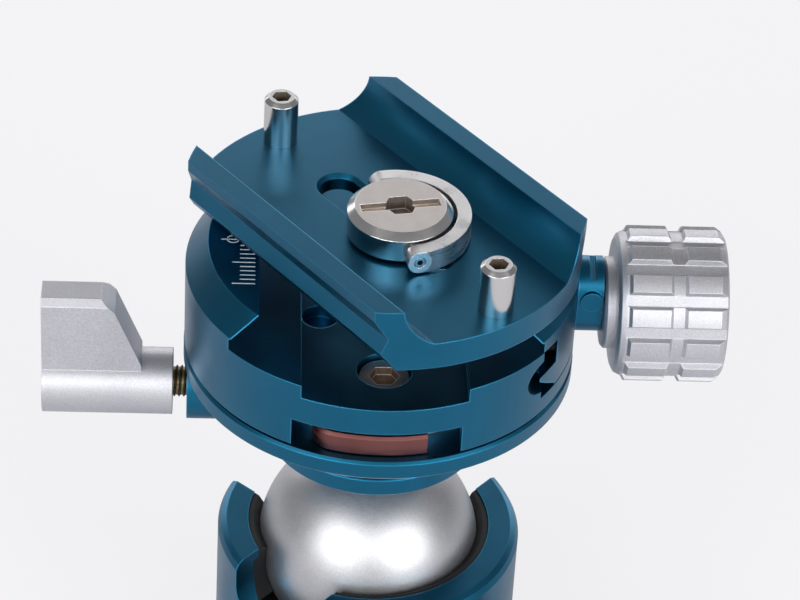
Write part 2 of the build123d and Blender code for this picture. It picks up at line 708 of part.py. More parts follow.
with BuildPart() as floor_screws:
    for side in (-1, 1):
        head_plane = Plane(origin=(0, side * floor_screw_offset, channel_z - floor_screw_sink))
        shank_end = spindle_flange_foot + slide_gap - channel_z + floor_screw_sink
        turned([(0, 0), (0, floor_screw_head_dia / 2), (-floor_screw_head, floor_screw_head_dia / 2),
                (-floor_screw_head, floor_screw_dia / 2 - fit_gap),
                (shank_end, floor_screw_dia / 2 - fit_gap), (shank_end, 0)], head_plane)
        with BuildSketch(head_plane):
            RegularPolygon(floor_screw_key / 2, 6, major_radius=False)
        extrude(amount=-floor_screw_key_depth, mode=Mode.SUBTRACT)
finish(floor_screws, "floor_screws")

spindle_foot = pan_bore_floor + slide_gap
with BuildPart() as pan_spindle:
    turned([(spindle_foot, 0), (spindle_foot, pan_spindle_radius - end_bevel),
            (spindle_foot + end_bevel, pan_spindle_radius),
            (pan_lock_z - groove_depth, pan_spindle_radius), (pan_lock_z, pan_spindle_radius - groove_depth),
            (pan_lock_z + groove_depth, pan_spindle_radius), (spindle_flange_foot, pan_spindle_radius),
            (spindle_flange_foot, spindle_flange_radius), (spindle_flange_top, spindle_flange_radius),
            (spindle_flange_top, 0)])
    for side in (-1, 1):
        drilled(Plane(origin=(0, side * floor_screw_offset, spindle_flange_top)), floor_screw_dia / 2,
                spindle_flange_thickness)
finish(pan_spindle, "pan_spindle")

with BuildPart() as pan_washer:
    with BuildSketch(Plane.XY.offset(ring_top)):
        Circle(spindle_flange_radius)
        Circle(pan_spindle_radius + slide_gap, mode=Mode.SUBTRACT)
    extrude(amount=washer_thickness)
finish(pan_washer, "pan_washer")

shoe_foot = ring_top + slide_gap
shoe_rise = jaw_top - shoe_top_drop - shoe_foot
shoe_middle = (shoe_left + shoe_right) / 2
with BuildPart() as pan_drag_shoe:
    with BuildSketch(Plane.XY.offset(shoe_foot)):
        Circle(shoe_outer_radius)
        Circle(spindle_flange_radius + slide_gap, mode=Mode.SUBTRACT)
        with Locations((shoe_middle, -clamp_radius)):
            Rectangle(shoe_right - shoe_left, clamp_radius, mode=Mode.INTERSECT)
    extrude(amount=shoe_rise)
    fillet(pan_drag_shoe.edges().filter_by(Axis.Z).group_by(Axis.X)[0].sort_by(Axis.Y)[0], shoe_corner)
    chamfer(pan_drag_shoe.edges().group_by(Axis.Z)[-1].filter_by(GeomType.CIRCLE), length=edge_break)
finish(pan_drag_shoe, "pan_drag_shoe")

# ======== moving jaw ========
with BuildPart() as moving_jaw:
    turned([(jaw_foot, 0), (jaw_foot, clamp_radius), (jaw_top - jaw_bevel_drop, clamp_radius),
            (jaw_top, jaw_flat_dia / 2), (jaw_top, 0)])
    with BuildSketch(Plane.XZ):
        Polygon((-clamp_radius, jaw_top), (moving_lip, jaw_top),
                (moving_lip + flank_height, jaw_top - flank_height),
                (moving_lip + flank_height, floor_z + slide_gap), (jaw_face, floor_z + slide_gap),
                (jaw_face, jaw_foot), (-clamp_radius, jaw_foot), align=None)
    extrude(amount=clamp_radius, both=True, mode=Mode.SUBTRACT)
    for side in (-1, 1):
        with BuildSketch(Plane.XZ, mode=Mode.PRIVATE) as toe:
            Polygon((jaw_face, jaw_top - toe_top_drop), (jaw_face - toe_reach, jaw_top - toe_tip_drop),
                    (jaw_face, jaw_top - toe_foot_drop), align=None)
            fillet(toe.vertices().sort_by(Axis.X)[0], toe_round)
        with BuildSketch(Plane.XY.offset(jaw_foot), mode=Mode.PRIVATE) as round_edge:
            Circle(clamp_radius)
        add(outwards(toe.sketch, side, toe_inner_offset)
            & extrude(round_edge.sketch, amount=jaw_foot_drop, mode=Mode.PRIVATE))
    sleeve_plane = Plane(origin=(jaw_face, 0, screw_z), x_dir=(0, 0, 1), z_dir=(1, 0, 0))
    with BuildSketch(sleeve_plane):
        with Locations((sleeve_rise / 2, 0)):
            SlotCenterToCenter(sleeve_rise, sleeve_dia)
    extrude(amount=sleeve_reach - jaw_face)
    with BuildSketch(Plane.XZ):
        with Locations((sleeve_button_reach, screw_z + sleeve_rise)):
            Circle(sleeve_button_dia / 2)
    extrude(amount=sleeve_dia / 2 + sleeve_button_rise)
    with BuildSketch(sleeve_plane):
        Circle(draw_screw_dia / 2 + fit_gap)
    extrude(amount=sleeve_reach - jaw_face, mode=Mode.SUBTRACT)
    with BuildSketch(Plane.XY.offset(screw_z + sleeve_rise + sleeve_dia / 2)):
        with Locations((sleeve_slot_start + sleeve_slot_width / 2, 0)):
            Rectangle(sleeve_slot_width, sleeve_dia)
    extrude(amount=-sleeve_slot_depth, mode=Mode.SUBTRACT)
    for offset in (-guide_pin_offset, guide_pin_offset):
        drilled(Plane(origin=(jaw_face, offset, screw_z), z_dir=(1, 0, 0)), guide_pin_dia / 2,
                -guide_pin_seat)
finish(moving_jaw, "moving_jaw")

with BuildPart() as guide_pins:
    for offset in (-guide_pin_offset, guide_pin_offset):
        turned([(guide_pin_tip, 0), (guide_pin_tip, guide_pin_dia / 2 - edge_break),
                (guide_pin_tip + edge_break, guide_pin_dia / 2),
                (jaw_face + guide_pin_seat, guide_pin_dia / 2), (jaw_face + guide_pin_seat, 0)],
               Plane(origin=(0, offset, screw_z), x_dir=(0, 0, 1), z_dir=(1, 0, 0)))
finish(guide_pins, "guide_pins")

spring_start = jaw_wall - spring_pocket_depth + spring_wire / 2 + fit_gap
spring_length = jaw_face - spring_start - spring_wire / 2 - fit_gap
with BuildPart() as jaw_springs:
    for offset in (-spring_offset, spring_offset):
        coil = Helix(spring_length / spring_coils, spring_length, (spring_dia - spring_wire) / 2,
                     center=(spring_start, offset, screw_z), direction=(1, 0, 0), mode=Mode.PRIVATE)
        with BuildSketch(Plane(origin=coil @ 0, z_dir=coil % 0), mode=Mode.PRIVATE) as wire:
            Circle(spring_wire / 2)
        sweep(wire.sketch, path=coil, is_frenet=True)
finish(jaw_springs, "jaw_springs")

knob_centre = Plane(origin=(0, 0, screw_z), x_dir=(0, 0, 1), z_dir=(1, 0, 0))
clamp_knob_face = knob_centre.offset(clamp_knob_start + clamp_knob_length)
with BuildPart() as draw_screw:
    turned([(draw_screw_tip, 0), (draw_screw_tip, draw_screw_dia / 2 - end_bevel),
            (draw_screw_tip + end_bevel, draw_screw_dia / 2),
            (clamp_knob_start + clamp_knob_length / 2, draw_screw_dia / 2),
            (clamp_knob_start + clamp_knob_length / 2, 0)], knob_centre)
    drill_for_end_screw(clamp_knob_face)
finish(draw_screw, "draw_screw")

washer_start = sleeve_reach + slide_gap
with BuildPart() as clamp_knob_washer:
    turned([(washer_start, draw_screw_dia / 2 + fit_gap), (washer_start, knob_washer_dia / 2 - edge_break),
            (washer_start + edge_break, knob_washer_dia / 2), (clamp_knob_start, knob_washer_dia / 2),
            (clamp_knob_start, draw_screw_dia / 2 + fit_gap)], knob_centre)
finish(clamp_knob_washer, "clamp_knob_washer")

clamp_knob = grip_knob(knob_centre.offset(clamp_knob_start), clamp_knob_dia, clamp_knob_length,
                       draw_screw_dia / 2, clamp_knob_length / 2)
with clamp_knob:
    drill_for_end_screw(clamp_knob_face)
finish(clamp_knob, "clamp_knob")

clamp_knob_screw = end_screw(clamp_knob_face)
finish(clamp_knob_screw, "clamp_knob_screw")

# ======== camera plate, laid sole down across the jaws ========
turn = radians(plate_turn)
plate_plane = Plane(origin=(plate_centre[0], plate_centre[1], plate_z), x_dir=(cos(turn), sin(turn), 0),
                    z_dir=(0, 0, 1))
plate_radius = plate_dia / 2
scoop_foot = (recess_half_width, floor_height)
scoop_top = (rail_half_width - rail_top_width, plate_height)
scoop_radius = (plate_height - floor_height) * scoop_roundness
end_section = Plane(origin=plate_plane.from_local_coords((-plate_radius, 0, 0)), x_dir=plate_plane.y_dir,
                    z_dir=plate_plane.x_dir)
with BuildPart() as camera_plate:
    with BuildSketch(end_section):
        with BuildLine():
            outline = [(sole_half_width, 0), (flange_half_width, flange_height),
                       (neck_half_width, neck_height), (rail_half_width, plate_height - rail_wall),
                       (rail_half_width, plate_height)]
            Polyline(*[(-x, z) for x, z in reversed(outline)], *outline)
            Line((rail_half_width, plate_height), scoop_top)
            RadiusArc(scoop_top, scoop_foot, scoop_radius)
            Line(scoop_foot, (-recess_half_width, floor_height))
            RadiusArc((-recess_half_width, floor_height), (-scoop_top[0], plate_height), scoop_radius)
            Line((-scoop_top[0], plate_height), (-rail_half_width, plate_height))
        make_face()
    extrude(amount=plate_dia)
    with BuildSketch(plate_plane):
        Circle(plate_radius)
    extrude(amount=plate_height, mode=Mode.INTERSECT)
    with BuildSketch(plate_plane):
        SlotOverall(2 * plate_slot_half_length, plate_slot_width)
    extrude(amount=floor_height, mode=Mode.SUBTRACT)
    with BuildSketch(plate_plane):
        SlotOverall(2 * plate_slot_half_length - plate_slot_width + clip_slot_width, clip_slot_width)
    extrude(amount=clip_slot_depth, mode=Mode.SUBTRACT)
    with BuildSketch(plate_plane.offset(floor_height)):
        with Locations((-post_offset, 0), (post_offset, 0)):
            Circle(post_thread_dia / 2)
    extrude(amount=-post_hole_depth, mode=Mode.SUBTRACT)
    slot_mouth = camera_plate.faces().filter_by(Axis.Z).group_by(Axis.Z)[-2].sort_by(SortBy.AREA)[-1]
    chamfer(slot_mouth.inner_wires().sort_by(SortBy.LENGTH)[-1].edges(), length=post_bevel)
finish(camera_plate, "camera_plate")

with BuildPart() as stop_posts:
    with BuildSketch(plate_plane.offset(floor_height)):
        with Locations((-post_offset, 0), (post_offset, 0)):
            Circle(post_dia / 2)
    extrude(amount=post_rise)
    chamfer(stop_posts.edges().group_by(Axis.Z)[-1], length=post_bevel)
    with BuildSketch(plate_plane.offset(floor_height)):
        with Locations((-post_offset, 0), (post_offset, 0)):
            Circle(post_thread_dia / 2)
    extrude(amount=-post_thread_length)
    with BuildSketch(plate_plane.offset(floor_height + post_rise)):
        with Locations((-post_offset, 0), (post_offset, 0)):
            RegularPolygon(post_key / 2, 6, major_radius=False)
    extrude(amount=-post_key_depth, mode=Mode.SUBTRACT)
finish(stop_posts, "stop_posts")

# ======== camera screw, held in the plate by a clip ========
screw_plane = Plane(origin=plate_plane.from_local_coords((camera_screw_offset, 0, 0)),
                    x_dir=plate_plane.x_dir, z_dir=(0, 0, 1))
clip_foot = (clip_slot_depth - clip_thickness) / 2
shank_radius = camera_shank_dia / 2
thread_radius = camera_thread_dia / 2
head_radius = head_dia / 2
head_foot = floor_height + handle_floor_gap
head_top = floor_height + head_rise
handle_plane = screw_plane.rotated((0, 0, handle_turn)).offset(handle_floor_gap + floor_height)
pivot_plane = Plane(origin=handle_plane.offset(handle_height / 2).origin, x_dir=(0, 0, 1),
                    z_dir=handle_plane.x_dir)
pin_start = head_radius - handle_pin_seat
pin_end = handle_outer_dia / 2 - fit_gap
with BuildPart() as camera_screw:
    turned([(-camera_thread_reach, 0), (-camera_thread_reach, thread_radius - post_bevel),
            (post_bevel - camera_thread_reach, thread_radius), (0, thread_radius), (0, shank_radius),
            (clip_foot, shank_radius), (clip_foot, shank_radius - post_bevel),
            (clip_foot + clip_thickness, shank_radius - post_bevel),
            (clip_foot + clip_thickness, shank_radius), (head_foot, shank_radius),
            (head_foot, head_radius - turn_gap), (head_foot + turn_gap, head_radius),
            (head_top - head_bevel_drop, head_radius), (head_top, head_face_dia / 2), (head_top, 0)],
           screw_plane)
    with BuildSketch(screw_plane.offset(head_top)):
        Rectangle(head_slot_length, head_slot_width, rotation=head_slot_turn)
    extrude(amount=-head_slot_depth, mode=Mode.SUBTRACT)
    with BuildSketch(screw_plane.offset(head_top)):
        RegularPolygon(head_key / 2, 6, major_radius=False, rotation=head_slot_turn)
    extrude(amount=-head_key_depth, mode=Mode.SUBTRACT)
    for side in (-1, 1):
        with BuildSketch(pivot_plane.offset(side * pin_start)):
            Circle(handle_pin_dia / 2)
        extrude(amount=side * head_radius, mode=Mode.SUBTRACT)
finish(camera_screw, "camera_screw")

with BuildPart() as screw_clip:
    with BuildSketch(screw_plane.offset(clip_foot)):
        Circle(clip_dia / 2)
        Circle(shank_radius - post_bevel + fit_gap, mode=Mode.SUBTRACT)
        with Locations((clip_dia / 2, 0)):
            Rectangle(clip_dia, 2 * (shank_radius - post_bevel), mode=Mode.SUBTRACT)
    extrude(amount=clip_thickness)
finish(screw_clip, "screw_clip")

with BuildPart() as handle_pins:
    for side in (-1, 1):
        turned([(side * pin_start, 0), (side * pin_start, handle_pin_dia / 2),
                (side * pin_end, handle_pin_dia / 2), (side * pin_end, 0)], pivot_plane)
finish(handle_pins, "handle_pins")

with BuildPart() as screw_handle:
    with BuildSketch(handle_plane):
        Circle(handle_outer_dia / 2)
        Circle(handle_inner_dia / 2, mode=Mode.SUBTRACT)
        with Locations((0, -handle_outer_dia / 2)):
            Rectangle(handle_outer_dia, handle_outer_dia, mode=Mode.SUBTRACT)
    extrude(amount=handle_height)
    for side in (-1, 1):
        lug_start = side * handle_inner_dia / 2
        with BuildSketch(pivot_plane.offset(lug_start)):
            Circle(handle_height / 2)
        extrude(amount=side * (handle_outer_dia - handle_inner_dia) / 2)
    with BuildSketch(pivot_plane):
        Circle(handle_pin_dia / 2 + fit_gap)
    extrude(amount=handle_outer_dia, both=True, mode=Mode.SUBTRACT)
finish(screw_handle, "screw_handle")
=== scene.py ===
import json
from math import cos, pi, radians, sin

import bmesh
import bpy
from mathutils import Matrix, Vector


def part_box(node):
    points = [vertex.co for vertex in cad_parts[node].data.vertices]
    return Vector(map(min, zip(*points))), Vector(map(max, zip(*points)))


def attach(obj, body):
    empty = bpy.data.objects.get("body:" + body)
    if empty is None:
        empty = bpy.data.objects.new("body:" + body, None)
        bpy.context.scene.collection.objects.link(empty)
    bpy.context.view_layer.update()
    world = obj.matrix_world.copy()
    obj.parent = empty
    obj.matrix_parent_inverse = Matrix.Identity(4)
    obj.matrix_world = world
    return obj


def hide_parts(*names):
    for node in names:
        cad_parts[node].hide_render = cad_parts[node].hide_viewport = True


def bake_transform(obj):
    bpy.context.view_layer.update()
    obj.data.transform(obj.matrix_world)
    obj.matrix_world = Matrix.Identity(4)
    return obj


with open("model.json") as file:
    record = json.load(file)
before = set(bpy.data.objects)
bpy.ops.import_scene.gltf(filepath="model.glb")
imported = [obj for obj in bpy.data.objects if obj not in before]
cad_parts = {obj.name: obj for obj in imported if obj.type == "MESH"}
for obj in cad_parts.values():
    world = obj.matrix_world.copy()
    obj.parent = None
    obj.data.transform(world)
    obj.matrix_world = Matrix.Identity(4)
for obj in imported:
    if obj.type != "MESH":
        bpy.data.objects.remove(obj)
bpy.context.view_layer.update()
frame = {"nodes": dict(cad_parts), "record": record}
MM = 0.001

# ---- camera, fitted to the circles of the clamp, the pan ring, the ball and the plate ----
IMAGE_WIDTH = 800
SENSOR = 36.0
FOCAL_PIXELS = 3577.6
CAMERA_ELEVATION = 37.23
CAMERA_AZIMUTH = -3.49
CAMERA_ROLL = 3.44
CAMERA_DISTANCE = 513.52
CAMERA_SLIDE = (-2.30, 8.18)
JAW_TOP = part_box("clamp_body")[1].z


def add_camera():
    """The camera looks at the middle of the jaws from the photographed angle."""
    el, az, roll = (radians(v) for v in (CAMERA_ELEVATION, CAMERA_AZIMUTH, CAMERA_ROLL))
    back = Vector((sin(az) * cos(el), -cos(az) * cos(el), sin(el)))
    level = Vector((cos(az), sin(az), 0))
    above = back.cross(level)
    right = level * cos(roll) + above * sin(roll)
    up = above * cos(roll) - level * sin(roll)
    place = Vector((0, 0, JAW_TOP)) + back * CAMERA_DISTANCE * MM
    place -= (right * CAMERA_SLIDE[0] + up * CAMERA_SLIDE[1]) * MM
    data = bpy.data.cameras.new("camera")
    data.sensor_width = SENSOR
    data.lens = FOCAL_PIXELS * SENSOR / IMAGE_WIDTH
    data.clip_start = 0.01
    camera = bpy.data.objects.new("camera", data)
    axes = Matrix((right, up, back)).transposed().to_4x4()
    camera.matrix_world = Matrix.Translation(place) @ axes
    bpy.context.scene.collection.objects.link(camera)
    bpy.context.scene.camera = camera


# ---- materials ----

class Finish:
    """A Principled material and the short calls that wire its nodes."""

    def __init__(self, name, metallic, roughness, specular=0.5):
        self.material = bpy.data.materials.new(name)
        self.material.use_nodes = True
        self.tree = self.material.node_tree
        self.shader = self.tree.nodes["Principled BSDF"]
        self.shader.inputs["Metallic"].default_value = metallic
        self.shader.inputs["Roughness"].default_value = roughness
        self.shader.inputs["Specular IOR Level"].default_value = specular
        self.place = self.node("ShaderNodeTexCoord").outputs["Object"]
        self.facing = self.node("ShaderNodeSeparateXYZ").outputs["Z"]
        self.link(self.node("ShaderNodeTexCoord").outputs["Normal"], self.facing.node.inputs[0])
        self.height = self.node("ShaderNodeSeparateXYZ").outputs["Z"]
        self.link(self.place, self.height.node.inputs[0])

    def node(self, kind, **values):
        made = self.tree.nodes.new(kind)
        for key, value in values.items():
            setattr(made, key, value)
        return made

    def link(self, source, target):
        self.tree.links.new(source, target)

    def noise(self, scale, detail=3.0, stretch=(1, 1, 1)):
        """Noise of a given number of features per metre, from 0 to 1."""
        mapping = self.node("ShaderNodeMapping")
        mapping.inputs["Scale"].default_value = stretch
        self.link(self.place, mapping.inputs["Vector"])
        noise = self.node("ShaderNodeTexNoise")
        noise.inputs["Scale"].default_value = scale
        noise.inputs["Detail"].default_value = detail
        self.link(mapping.outputs["Vector"], noise.inputs["Vector"])
        return noise.outputs["Fac"]

    def ramp(self, value, stops):
        """A colour or grey ramp with (position, colour) stops."""
        ramp = self.node("ShaderNodeValToRGB")
        elements = ramp.color_ramp.elements
        while len(elements) < len(stops):
            elements.new(0.5)
        for element, (position, colour) in zip(elements, stops):
            element.position = position
            element.color = (*colour, 1) if len(colour) == 3 else colour
        self.link(value, ramp.inputs["Fac"])
        return ramp.outputs["Color"]

    def grey(self, value, low, high, start=0.3, end=0.7):
        """Maps a value's middle stretch to a plain range."""
        span = self.node("ShaderNodeMapRange")
        for key, number in (("From Min", start), ("From Max", end), ("To Min", low), ("To Max", high)):
            span.inputs[key].default_value = number
        self.link(value, span.inputs["Value"])
        return span.outputs["Result"]

    def math(self, operation, a, b):
        made = self.node("ShaderNodeMath", operation=operation)
        for socket, value in zip(made.inputs, (a, b)):
            if isinstance(value, (int, float)):
                socket.default_value = value
            else:
                self.link(value, socket)
        return made.outputs[0]

    def mix(self, factor, a, b):
        """Mixes two colours; each is a tuple or a socket."""
        made = self.node("ShaderNodeMix", data_type="RGBA")
        for socket, value in ((made.inputs[0], factor), (made.inputs[6], a), (made.inputs[7], b)):
            if isinstance(value, tuple):
                socket.default_value = (*value, 1)
            elif isinstance(value, (int, float)):
                socket.default_value = value
            else:
                self.link(value, socket)
        return made.outputs[2]

    def near_line(self, centre, axis, radius):
        """1 within a radius of a line through a point in metres, and 0 beyond it."""
        away = self.node("ShaderNodeVectorMath", operation="SUBTRACT")
        self.link(self.place, away.inputs[0])
        away.inputs[1].default_value = centre
        across = self.node("ShaderNodeVectorMath", operation="CROSS_PRODUCT")
        self.link(away.outputs["Vector"], across.inputs[0])
        across.inputs[1].default_value = axis
        length = self.node("ShaderNodeVectorMath", operation="LENGTH")
        self.link(across.outputs["Vector"], length.inputs[0])
        return self.grey(length.outputs["Value"], 1.0, 0.0, radius - 0.00004, radius + 0.00004)

    def edge_highlight_mask(self, radius):
        """1 on an outside edge and 0 on flats, from the normals that a bevel would round; it places the
        painted edge highlights.
        """
        bevel = self.node("ShaderNodeBevel", samples=4)
        bevel.inputs["Radius"].default_value = radius
        flat = self.node("ShaderNodeNewGeometry").outputs["Normal"]
        dot = self.node("ShaderNodeVectorMath", operation="DOT_PRODUCT")
        self.link(bevel.outputs["Normal"], dot.inputs[0])
        self.link(flat, dot.inputs[1])
        return self.grey(dot.outputs["Value"], 1.0, 0.0, 0.78, 0.995)

    def relief(self, height, strength, distance, bevel_radius):
        """Bumps the surface, over edges that are rounded by a bevel."""
        bump = self.node("ShaderNodeBump")
        bump.inputs["Strength"].default_value = strength
        bump.inputs["Distance"].default_value = distance
        self.link(height, bump.inputs["Height"])
        bevel = self.node("ShaderNodeBevel", samples=6)
        bevel.inputs["Radius"].default_value = bevel_radius
        self.link(bevel.outputs["Normal"], bump.inputs["Normal"])
        self.link(bump.outputs["Normal"], self.shader.inputs["Normal"])


def anodised(name, deep, light, roughness, coat=0.4, bevel=0.00022):
    """Dyed anodised aluminium under its clear oxide: fine blasted grain, slow colour drift, and a painted
    highlight along the edges.
    """
    m = Finish(name, 1.0, roughness)
    m.shader.inputs["Coat Weight"].default_value = coat
    m.shader.inputs["Coat Roughness"].default_value = roughness * 0.8
    drift = m.ramp(m.noise(55, 4), [(0.25, deep), (0.75, light)])
    # Edges are lifted towards a much paler teal: a painted highlight along the edges.
    edge = m.math("MULTIPLY", m.edge_highlight_mask(bevel * 1.6), 0.65)
    pale = tuple(min(1, c * 2.6 + 0.04) for c in light)
    m.link(m.mix(edge, drift, pale), m.shader.inputs["Base Color"])
    m.link(m.grey(m.noise(140, 5), roughness - 0.05, roughness + 0.06), m.shader.inputs["Roughness"])
    m.relief(m.noise(9000, 2), 0.14, 0.00003, bevel)
    return m.material


def blasted(name, deep, light, roughness, grain=6500, strength=0.3):
    """Bead-blasted clear anodised aluminium, with a fine even sparkle."""
    m = Finish(name, 1.0, roughness)
    drift = m.ramp(m.noise(70, 4), [(0.3, deep), (0.7, light)])
    speck = m.ramp(m.noise(grain, 1), [(0.35, (0.82, 0.82, 0.82)), (0.65, (1, 1, 1))])
    both = m.node("ShaderNodeMix", data_type="RGBA", blend_type="MULTIPLY")
    both.inputs[0].default_value = 1.0
    m.link(drift, both.inputs[6])
    m.link(speck, both.inputs[7])
    # Edges are lifted towards pale grey: a painted highlight along the edges.
    edge = m.math("MULTIPLY", m.edge_highlight_mask(0.0003), 0.35)
    m.link(m.mix(edge, both.outputs[2], (0.86, 0.86, 0.87)), m.shader.inputs["Base Color"])
    m.link(m.grey(m.noise(grain * 0.6, 2), roughness - 0.06, roughness + 0.08), m.shader.inputs["Roughness"])
    m.relief(m.noise(grain, 2), strength, 0.00004, 0.0002)
    return m.material


def polished(name, deep, light, roughness, bevel=0.00012, lines=0.04):
    """Polished metal with faint smears and turning lines."""
    m = Finish(name, 1.0, roughness)
    m.link(m.ramp(m.noise(90, 4), [(0.3, deep), (0.7, light)]), m.shader.inputs["Base Color"])
    smear = m.noise(260, 5, (1, 1, 5))
    m.link(m.grey(smear, roughness * 0.75, roughness * 1.4), m.shader.inputs["Roughness"])
    m.relief(m.noise(1800, 3, (1, 1, 6)), lines, 0.00002, bevel)
    return m.material


def screw_face(name, node, face, rim, socket, sockets, reach):
    """Nickelled steel: a matt flat on top, polished bevels with painted highlights, and sockets around given
    upright axes in a darker brown tone with painted shade deepening towards their floors.
    """
    m = Finish(name, 1.0, 0.16)
    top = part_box(node)[1].z
    flat = m.math("MULTIPLY", m.grey(m.facing, 0.0, 1.0, 0.95, 0.99),
                  m.grey(m.height, 0.0, 1.0, top - 0.00006, top - 0.00003))
    inside = 0.0
    for x, y in sockets:
        inside = m.math("MAXIMUM", inside, m.near_line((x, y, 0), (0, 0, 1), reach))
    inside = m.math("MULTIPLY", inside, m.grey(m.height, 1.0, 0.0, top - 0.0001, top - 0.00005))
    face_tone = m.ramp(m.noise(420, 5), [(0.3, tuple(c * 0.93 for c in face)), (0.7, face)])
    socket_tone_and_shade = m.ramp(m.noise(1400, 4), [(0.3, tuple(c * 0.75 for c in socket)), (0.65, socket)])
    # Painted shade: from 0.9 mm to 1.8 mm below the top, the socket colour is mixed up to 65 % towards a
    # fifth of itself.
    deep = m.grey(m.height, 0.65, 0.0, top - 0.0018, top - 0.0009)
    socket_tone_and_shade = m.mix(deep, socket_tone_and_shade, tuple(c * 0.2 for c in socket))
    # Edges are lifted towards near-white: a painted highlight along the bevels and rims.
    edge = m.math("MULTIPLY", m.edge_highlight_mask(0.00025), 0.8)
    whole = m.mix(inside, m.mix(flat, rim, face_tone), socket_tone_and_shade)
    m.link(m.mix(edge, whole, (0.97, 0.96, 0.95)), m.shader.inputs["Base Color"])
    polish = m.grey(m.noise(260, 5), 0.13, 0.27)
    matt = m.grey(m.noise(5000, 3), 0.42, 0.56)
    dull = m.math("MAXIMUM", flat, inside)
    rough = m.math("ADD", m.math("MULTIPLY", dull, matt),
                   m.math("MULTIPLY", m.math("SUBTRACT", 1.0, dull), polish))
    m.link(rough, m.shader.inputs["Roughness"])
    m.relief(m.noise(5200, 2), 0.12, 0.00003, 0.00015)
    return m.material


def middle_of(node):
    low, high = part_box(node)
    return (low + high) / 2


PIN_SOCKET_RADIUS = 0.00042


def pin_ends(name, node, across):
    """Polished pins along one line, each end with a small socket painted in as a near-black disc of shade.
    """
    m = Finish(name, 1.0, 0.2)
    centre = middle_of(node)
    # Painted shade: a near-black disc at the centre of each pin end stands for a small socket.
    socket_shade = m.near_line(tuple(centre), across, PIN_SOCKET_RADIUS)
    m.link(m.mix(socket_shade, (0.62, 0.61, 0.60), (0.02, 0.018, 0.016)), m.shader.inputs["Base Color"])
    m.link(m.grey(m.noise(900, 4), 0.16, 0.32), m.shader.inputs["Roughness"])
    m.relief(m.noise(3000, 3), 0.08, 0.00003, 0.00012)
    return m.material


def moulded(name, deep, light, roughness, grain=3500, strength=0.2):
    """Moulded rubber or plastic with a fine grain and dusty drift."""
    m = Finish(name, 0.0, roughness, 0.25)
    m.link(m.ramp(m.noise(80, 5), [(0.3, deep), (0.75, light)]), m.shader.inputs["Base Color"])
    m.link(m.grey(m.noise(300, 4), roughness - 0.08, roughness + 0.1), m.shader.inputs["Roughness"])
    m.relief(m.noise(grain, 3), strength, 0.00006, 0.0002)
    return m.material


MATERIALS = {
    "teal_anodised": anodised("teal_anodised", (0.0012, 0.105, 0.196), (0.0026, 0.133, 0.243), 0.36, 0.3),
    "silver_blasted": blasted("silver_blasted", (0.59, 0.59, 0.625), (0.68, 0.68, 0.715), 0.50),
    "polished_steel": polished("polished_steel", (0.66, 0.65, 0.64), (0.78, 0.775, 0.77), 0.16),
    "screw_steel": polished("screw_steel", (0.48, 0.47, 0.46), (0.60, 0.59, 0.58), 0.26),
    "spring_steel": polished("spring_steel", (0.30, 0.30, 0.31), (0.42, 0.42, 0.43), 0.3),
    "brass": polished("brass", (0.52, 0.36, 0.15), (0.66, 0.48, 0.22), 0.3),
    "copper_alloy": polished("copper_alloy", (0.17, 0.066, 0.062), (0.27, 0.11, 0.105), 0.42),
    "ball_anodised": blasted("ball_anodised", (0.55, 0.55, 0.57), (0.64, 0.645, 0.665), 0.42, 7500, 0.22),
    "black_polymer": moulded("black_polymer", (0.006, 0.006, 0.007), (0.013, 0.013, 0.014), 0.5),
    "white_polymer": moulded("white_polymer", (0.62, 0.61, 0.58), (0.74, 0.73, 0.70), 0.55),
    "black_rubber": moulded("black_rubber", (0.012, 0.012, 0.012), (0.028, 0.028, 0.028), 0.75, 2200, 0.4),
}
MARK_PAINT = moulded("mark_paint", (0.50, 0.58, 0.62), (0.62, 0.70, 0.74), 0.6)
DARK_BRASS = polished("dark_brass", (0.16, 0.13, 0.07), (0.26, 0.21, 0.12), 0.34)
SCREW = middle_of("camera_screw")
SCREW_SOCKET_REACH = 0.0062
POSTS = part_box("stop_posts")
POST_RADIUS = 0.0025
POST_SOCKET_REACH = 0.0018
POST_AXES = [
    (POSTS[0].x + POST_RADIUS, POSTS[1].y - POST_RADIUS),
    (POSTS[1].x - POST_RADIUS, POSTS[0].y + POST_RADIUS),
]
FLOOR_SCREW_RADIUS = 0.0035
FLOOR_SOCKET_REACH = 0.0024
FLOOR_SCREW_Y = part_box("floor_screws")[1].y - FLOOR_SCREW_RADIUS
HANDLE_TURN = radians(-75)
NODE_FINISHES = {
    "camera_screw": screw_face("camera_screw_steel", "camera_screw", (0.70, 0.655, 0.63), (0.74, 0.73, 0.72),
                               (0.58, 0.50, 0.44), [(SCREW.x, SCREW.y)], SCREW_SOCKET_REACH),
    "stop_posts": screw_face("stop_post_steel", "stop_posts", (0.74, 0.74, 0.74), (0.66, 0.65, 0.64),
                             (0.60, 0.50, 0.40), POST_AXES, POST_SOCKET_REACH),
    # The floor screws' rim colour is twice as light as their face: a painted highlight on their chamfers and
    # sides.
    "floor_screws": screw_face("floor_screw_steel", "floor_screws", (0.40, 0.385, 0.37), (0.80, 0.77, 0.74),
                               (0.34, 0.26, 0.20), [(0, -FLOOR_SCREW_Y), (0, FLOOR_SCREW_Y)],
                               FLOOR_SOCKET_REACH),
    "screw_handle": polished("ring_steel", (0.90, 0.89, 0.89), (0.95, 0.945, 0.945), 0.30, lines=0.008),
    "handle_pins": pin_ends("handle_pin_steel", "handle_pins", (cos(HANDLE_TURN), sin(HANDLE_TURN), 0)),
    "pan_lock_stud": DARK_BRASS,
    "guide_pins": polished("black_oxide_steel", (0.012, 0.012, 0.013), (0.026, 0.026, 0.028), 0.42),
}


